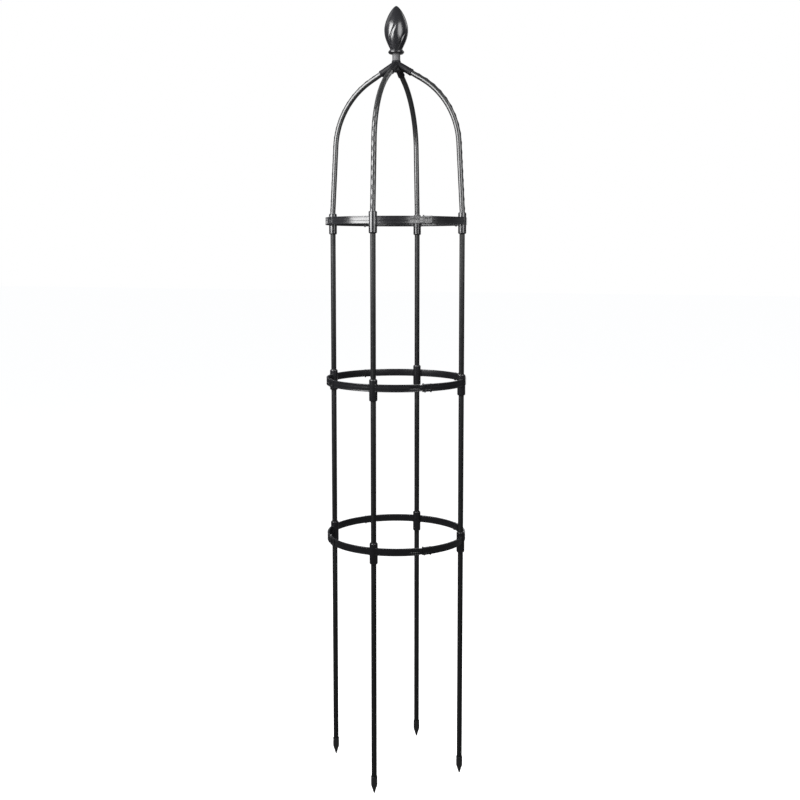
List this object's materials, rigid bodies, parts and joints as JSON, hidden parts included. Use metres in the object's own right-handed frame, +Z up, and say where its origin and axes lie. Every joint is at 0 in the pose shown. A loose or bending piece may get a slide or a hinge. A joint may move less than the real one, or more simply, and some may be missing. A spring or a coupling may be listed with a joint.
{
  "type": "garden obelisk",
  "caption": "Tall round plant-support obelisk of push-fit coated tube legs and clip-together rings, with a domed top and a bud finial, for climbing plants.",
  "frame": {"origin": "on the ground, midway between the four ground spikes' tips", "axes": "+Z up along the obelisk; +X towards the right leg, +Y towards the rear leg, seen with the front leg at -Y"},
  "size_m": [0.3546, 0.3546, 1.9],
  "materials": {
    "black_coating": "satin black plastic coat on steel tube",
    "black_plastic": "semi-gloss moulded",
    "grey_zinc": "dull zinc grey"
  },
  "bodies": {
    "frame": {"ground_spike_right": "black_plastic", "lower_tube_right": "black_coating", "middle_tube_right": "black_coating", "upper_tube_right": "black_coating", "bottom_ring_quarter_right": "black_plastic", "middle_ring_quarter_right": "black_plastic", "top_ring_quarter_right": "black_plastic", "dome_arm_right": "black_coating", "ground_spike_rear": "black_plastic", "lower_tube_rear": "black_coating", "middle_tube_rear": "black_coating", "upper_tube_rear": "black_coating", "bottom_ring_quarter_rear": "black_plastic", "middle_ring_quarter_rear": "black_plastic", "top_ring_quarter_rear": "black_plastic", "dome_arm_rear": "black_coating", "ground_spike_left": "black_plastic", "lower_tube_left": "black_coating", "middle_tube_left": "black_coating", "upper_tube_left": "black_coating", "bottom_ring_quarter_left": "black_plastic", "middle_ring_quarter_left": "black_plastic", "top_ring_quarter_left": "black_plastic", "dome_arm_left": "black_coating", "ground_spike_front": "black_plastic", "lower_tube_front": "black_coating", "middle_tube_front": "black_coating", "upper_tube_front": "black_coating", "bottom_ring_quarter_front": "black_plastic", "middle_ring_quarter_front": "black_plastic", "top_ring_quarter_front": "black_plastic", "dome_arm_front": "black_coating", "top_hub": "black_plastic", "finial_post": "grey_zinc"},
    "finial": {"finial_bud": "black_plastic", "finial_collar": "black_plastic"}
  },
  "joints": [
    {"name": "finial_turn", "type": "hinge", "parent": "frame", "child": "finial", "pos_m": [0, 0, 1.7868], "axis": [0, 0, 1], "continuous": true}
  ]
}
